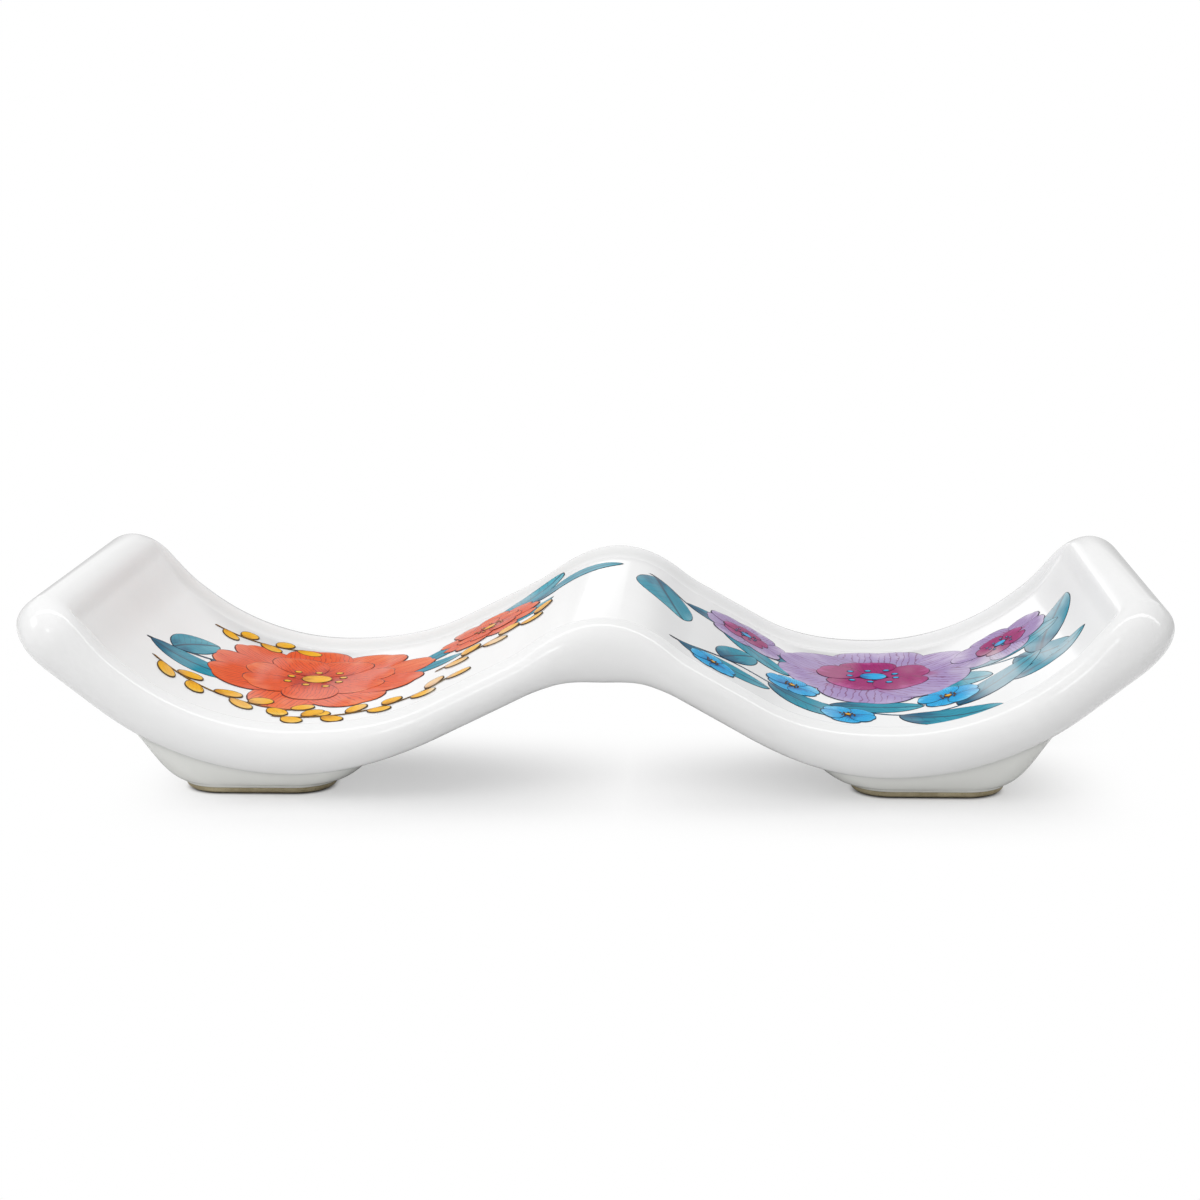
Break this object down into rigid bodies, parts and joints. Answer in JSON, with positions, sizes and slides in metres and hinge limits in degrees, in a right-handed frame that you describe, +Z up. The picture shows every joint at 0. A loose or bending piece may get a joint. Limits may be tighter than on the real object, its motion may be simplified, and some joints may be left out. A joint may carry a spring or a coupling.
{
  "type": "spoon rest",
  "caption": "Wave-shaped glazed porcelain rest: a hollow each side of a crest, a soft raised rim and flared feet on bare clay rings hold spoons and chopsticks off the table.",
  "frame": {"origin": "middle of the rest at the height of the table it stands on", "axes": "+X along the wave from the left hollow to the right hollow, +Y to the back long side, +Z up"},
  "size_m": [0.1204, 0.05, 0.0212],
  "materials": {
    "glaze": "gloss",
    "bare_clay": "matte"
  },
  "bodies": {
    "root": {"wave_tray": "glaze", "left_foot": "glaze", "right_foot": "glaze", "left_foot_ring": "bare_clay", "right_foot_ring": "bare_clay"}
  },
  "joints": []
}
